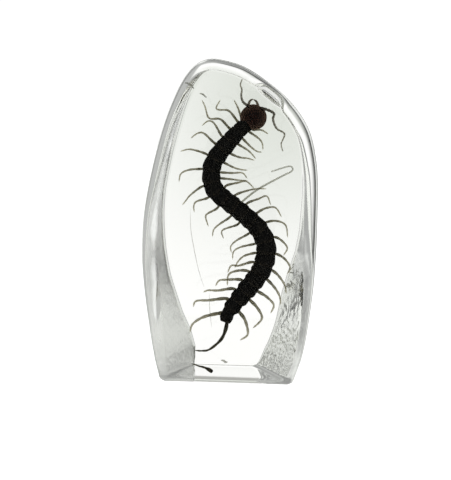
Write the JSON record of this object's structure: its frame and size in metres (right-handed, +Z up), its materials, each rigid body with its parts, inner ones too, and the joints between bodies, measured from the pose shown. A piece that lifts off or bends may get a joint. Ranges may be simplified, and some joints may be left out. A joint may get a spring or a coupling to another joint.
{
  "type": "centipede in resin block",
  "caption": "Real centipede sealed in a clear freeform standing block of cast resin with a flat polished front, pebbled sides and a flat base.",
  "frame": {"origin": "middle of the bounding box at the flat base that the block stands on", "axes": "+Z up from the base to the block's rounded peak, +X to the right as seen from the front, +Y from the flat polished front face to the back"},
  "size_m": [0.0464, 0.0278, 0.0864],
  "materials": {
    "clear_resin": "polished",
    "cuticle": "satin"
  },
  "bodies": {
    "root": {"resin_front": "clear_resin", "resin_back": "clear_resin", "centipede": "cuticle", "loose_leg_piece": "cuticle"}
  },
  "joints": []
}
